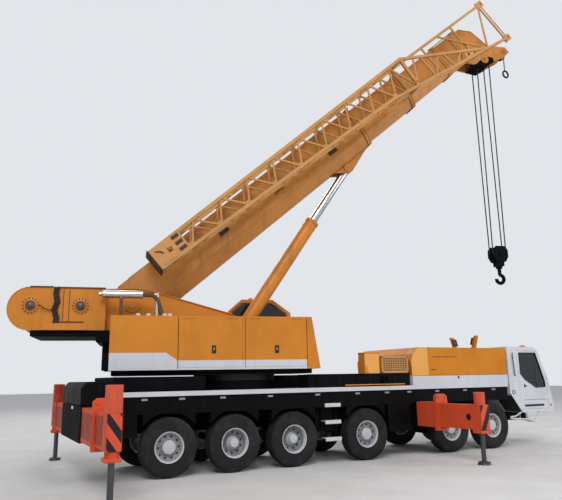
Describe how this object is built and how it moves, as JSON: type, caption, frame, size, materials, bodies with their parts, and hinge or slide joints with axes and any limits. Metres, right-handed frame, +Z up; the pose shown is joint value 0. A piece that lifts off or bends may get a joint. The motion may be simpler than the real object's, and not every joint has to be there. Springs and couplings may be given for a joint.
{
  "type": "mobile crane",
  "caption": "Mobile crane with a raised telescopic boom, a lattice jib stowed beside it, a low cab ahead of a long hood, and outriggers set on jacks.",
  "frame": {"origin": "middle of the bounding box, on the ground", "axes": "+X forward from the winches to the cab, +Y to the crane's left, +Z up"},
  "size_m": [16.6884, 7.8, 14.4954],
  "materials": {
    "tyre": "matte",
    "rim_paint": "satin",
    "chassis_black": "satin",
    "deck_paint": "satin",
    "body_orange": "gloss",
    "cab_white": "gloss",
    "window_glass": "gloss",
    "seat_fabric": "matte",
    "outrigger_red": "satin",
    "boom_orange": "satin",
    "jib_tan": "satin",
    "bright_steel": "satin",
    "rod_chrome": "gloss",
    "rope_steel": "satin"
  },
  "bodies": {
    "carrier": {"carrier_frame": "chassis_black", "axle_beams": "chassis_black", "deck": "deck_paint", "carrier_hood": "body_orange", "cab_shell": "cab_white", "cab_glass": "window_glass", "cab_interior": "seat_fabric", "outrigger_tubes": "outrigger_red"},
    "knuckle_1_right": {"knuckle_1_right": "chassis_black"},
    "wheel_1_right": {"tyre_1_right": "tyre", "rim_1_right": "rim_paint"},
    "knuckle_1_left": {"knuckle_1_left": "chassis_black"},
    "wheel_1_left": {"tyre_1_left": "tyre", "rim_1_left": "rim_paint"},
    "knuckle_2_right": {"knuckle_2_right": "chassis_black"},
    "wheel_2_right": {"tyre_2_right": "tyre", "rim_2_right": "rim_paint"},
    "knuckle_2_left": {"knuckle_2_left": "chassis_black"},
    "wheel_2_left": {"tyre_2_left": "tyre", "rim_2_left": "rim_paint"},
    "wheel_3_right": {"tyre_3_right": "tyre", "rim_3_right": "rim_paint"},
    "wheel_3_left": {"tyre_3_left": "tyre", "rim_3_left": "rim_paint"},
    "wheel_4_right": {"tyre_4_right": "tyre", "rim_4_right": "rim_paint"},
    "wheel_4_left": {"tyre_4_left": "tyre", "rim_4_left": "rim_paint"},
    "wheel_5_right": {"tyre_5_right": "tyre", "rim_5_right": "rim_paint"},
    "wheel_5_left": {"tyre_5_left": "tyre", "rim_5_left": "rim_paint"},
    "wheel_6_right": {"tyre_6_right": "tyre", "rim_6_right": "rim_paint"},
    "wheel_6_left": {"tyre_6_left": "tyre", "rim_6_left": "rim_paint"},
    "door_right": {"cab_door_right": "cab_white"},
    "door_left": {"cab_door_left": "cab_white"},
    "arm_front_right": {"outrigger_arm_front_right": "outrigger_red"},
    "jack_front_right": {"jack_leg_front_right": "outrigger_red"},
    "arm_front_left": {"outrigger_arm_front_left": "outrigger_red"},
    "jack_front_left": {"jack_leg_front_left": "outrigger_red"},
    "arm_rear_right": {"outrigger_arm_rear_right": "outrigger_red"},
    "jack_rear_right": {"jack_leg_rear_right": "outrigger_red"},
    "arm_rear_left": {"outrigger_arm_rear_left": "outrigger_red"},
    "jack_rear_left": {"jack_leg_rear_left": "outrigger_red"},
    "superstructure": {"turntable_frame": "boom_orange", "engine_housing": "body_orange", "crane_cabin": "body_orange", "muffler": "bright_steel"},
    "flap_rear": {"housing_flap_rear": "body_orange"},
    "flap_front": {"housing_flap_front": "body_orange"},
    "boom": {"boom_base": "boom_orange", "fly_jib": "jib_tan"},
    "boom_middle": {"boom_middle": "boom_orange"},
    "boom_head": {"boom_head": "boom_orange"},
    "rod": {"lift_rod": "rod_chrome"},
    "barrel": {"lift_barrel": "boom_orange"},
    "falls": {"hoist_falls": "rope_steel"},
    "hook": {"hook_block": "boom_orange"}
  },
  "joints": [
    {"name": "steer_1_right", "type": "hinge", "parent": "carrier", "child": "knuckle_1_right", "pos_m": [5.514, -0.9, 0.685], "axis": [0, 0, 1], "range_deg": [-35, 35]},
    {"name": "wheel_1_right_spin", "type": "hinge", "parent": "knuckle_1_right", "child": "wheel_1_right", "pos_m": [5.514, -1.1875, 0.685], "axis": [0, 1, 0], "continuous": true},
    {"name": "steer_1_left", "type": "hinge", "parent": "carrier", "child": "knuckle_1_left", "pos_m": [5.514, 0.9, 0.685], "axis": [0, 0, 1], "range_deg": [-35, 35]},
    {"name": "wheel_1_left_spin", "type": "hinge", "parent": "knuckle_1_left", "child": "wheel_1_left", "pos_m": [5.514, 1.1875, 0.685], "axis": [0, 1, 0], "continuous": true},
    {"name": "steer_2_right", "type": "hinge", "parent": "carrier", "child": "knuckle_2_right", "pos_m": [3.844, -0.9, 0.685], "axis": [0, 0, 1], "range_deg": [-27.5, 27.5]},
    {"name": "wheel_2_right_spin", "type": "hinge", "parent": "knuckle_2_right", "child": "wheel_2_right", "pos_m": [3.844, -1.1875, 0.685], "axis": [0, 1, 0], "continuous": true},
    {"name": "steer_2_left", "type": "hinge", "parent": "carrier", "child": "knuckle_2_left", "pos_m": [3.844, 0.9, 0.685], "axis": [0, 0, 1], "range_deg": [-27.5, 27.5]},
    {"name": "wheel_2_left_spin", "type": "hinge", "parent": "knuckle_2_left", "child": "wheel_2_left", "pos_m": [3.844, 1.1875, 0.685], "axis": [0, 1, 0], "continuous": true},
    {"name": "wheel_3_right_spin", "type": "hinge", "parent": "carrier", "child": "wheel_3_right", "pos_m": [0.794, -1.1875, 0.685], "axis": [0, 1, 0], "continuous": true},
    {"name": "wheel_3_left_spin", "type": "hinge", "parent": "carrier", "child": "wheel_3_left", "pos_m": [0.794, 1.1875, 0.685], "axis": [0, 1, 0], "continuous": true},
    {"name": "wheel_4_right_spin", "type": "hinge", "parent": "carrier", "child": "wheel_4_right", "pos_m": [-1.476, -1.1875, 0.685], "axis": [0, 1, 0], "continuous": true},
    {"name": "wheel_4_left_spin", "type": "hinge", "parent": "carrier", "child": "wheel_4_left", "pos_m": [-1.476, 1.1875, 0.685], "axis": [0, 1, 0], "continuous": true},
    {"name": "wheel_5_right_spin", "type": "hinge", "parent": "carrier", "child": "wheel_5_right", "pos_m": [-3.126, -1.1875, 0.685], "axis": [0, 1, 0], "continuous": true},
    {"name": "wheel_5_left_spin", "type": "hinge", "parent": "carrier", "child": "wheel_5_left", "pos_m": [-3.126, 1.1875, 0.685], "axis": [0, 1, 0], "continuous": true},
    {"name": "wheel_6_right_spin", "type": "hinge", "parent": "carrier", "child": "wheel_6_right", "pos_m": [-4.776, -1.1875, 0.685], "axis": [0, 1, 0], "continuous": true},
    {"name": "wheel_6_left_spin", "type": "hinge", "parent": "carrier", "child": "wheel_6_left", "pos_m": [-4.776, 1.1875, 0.685], "axis": [0, 1, 0], "continuous": true},
    {"name": "door_right_swing", "type": "hinge", "parent": "carrier", "child": "door_right", "pos_m": [8.124, -1.375, 2], "axis": [0, 0, 1], "range_deg": [0, 70]},
    {"name": "door_left_swing", "type": "hinge", "parent": "carrier", "child": "door_left", "pos_m": [8.124, 1.375, 2], "axis": [0, 0, -1], "range_deg": [0, 70]},
    {"name": "arm_front_right_slide", "type": "slide", "parent": "carrier", "child": "arm_front_right", "axis": [0, -1, 0], "range_m": [-1.2, 0]},
    {"name": "jack_front_right_lift", "type": "slide", "parent": "arm_front_right", "child": "jack_front_right", "axis": [0, 0, 1], "range_m": [0, 0.65]},
    {"name": "arm_front_left_slide", "type": "slide", "parent": "carrier", "child": "arm_front_left", "axis": [0, 1, 0], "range_m": [-1.2, 0]},
    {"name": "jack_front_left_lift", "type": "slide", "parent": "arm_front_left", "child": "jack_front_left", "axis": [0, 0, 1], "range_m": [0, 0.65]},
    {"name": "arm_rear_right_slide", "type": "slide", "parent": "carrier", "child": "arm_rear_right", "axis": [0, -1, 0], "range_m": [-0.75, 0]},
    {"name": "jack_rear_right_lift", "type": "slide", "parent": "arm_rear_right", "child": "jack_rear_right", "axis": [0, 0, 1], "range_m": [0, 0.65]},
    {"name": "arm_rear_left_slide", "type": "slide", "parent": "carrier", "child": "arm_rear_left", "axis": [0, 1, 0], "range_m": [-0.75, 0]},
    {"name": "jack_rear_left_lift", "type": "slide", "parent": "arm_rear_left", "child": "jack_rear_left", "axis": [0, 0, 1], "range_m": [0, 0.65]},
    {"name": "slew", "type": "hinge", "parent": "carrier", "child": "superstructure", "pos_m": [-2.596, 0, 2.18], "axis": [0, 0, 1], "continuous": true},
    {"name": "flap_rear_lift", "type": "hinge", "parent": "superstructure", "child": "flap_rear", "pos_m": [-3.70003, -1.14183, 3.73], "axis": [-0.9703, 0.2419, 0], "range_deg": [0, 85]},
    {"name": "flap_front_lift", "type": "hinge", "parent": "superstructure", "child": "flap_front", "pos_m": [-2.06023, -1.55068, 3.73], "axis": [-0.9703, 0.2419, 0], "range_deg": [0, 85]},
    {"name": "boom_luff", "type": "hinge", "parent": "superstructure", "child": "boom", "pos_m": [-5.26431, 0.66529, 4.15], "axis": [-0.2419, -0.9703, 0], "range_deg": [-38.5, 41]},
    {"name": "boom_middle_slide", "type": "slide", "parent": "boom", "child": "boom_middle", "axis": [0.7378, -0.184, 0.6494], "range_m": [-1.6, 4.4]},
    {"name": "boom_head_slide", "type": "slide", "parent": "boom_middle", "child": "boom_head", "axis": [0.7378, -0.184, 0.6494], "range_m": [-1.6, 4.4]},
    {"name": "lift_rod_swing", "type": "hinge", "parent": "boom", "child": "rod", "pos_m": [0.78732, -0.84356, 8.45893], "axis": [-0.2419, -0.9703, 0], "range_deg": [-8.54, 9.09]},
    {"name": "lift_barrel_slide", "type": "slide", "parent": "rod", "child": "barrel", "axis": [-0.5377, 0.1341, -0.8324], "range_m": [-1.638, 1.744]},
    {"name": "falls_swing", "type": "hinge", "parent": "boom_head", "child": "falls", "pos_m": [5.64505, -2.05472, 12.63489], "axis": [-0.2419, -0.9703, 0], "range_deg": [-41.1, 38.6]},
    {"name": "hook_slide", "type": "slide", "parent": "falls", "child": "hook", "axis": [0, 0, -1], "range_m": [-6, 0], "deforming": ["hoist_falls"]}
  ],
  "couplings": [
    {"joint": "steer_1_left", "follows": "steer_1_right", "ratio": 1},
    {"joint": "steer_2_right", "follows": "steer_1_right", "ratio": 0.78},
    {"joint": "steer_2_left", "follows": "steer_1_right", "ratio": 0.78},
    {"joint": "boom_head_slide", "follows": "boom_middle_slide", "ratio": 1},
    {"joint": "lift_rod_swing", "follows": "boom_luff", "ratio": 0.2205},
    {"joint": "lift_barrel_slide", "follows": "boom_luff", "m_per_rad": 2.4345},
    {"joint": "falls_swing", "follows": "boom_luff", "ratio": -1}
  ]
}
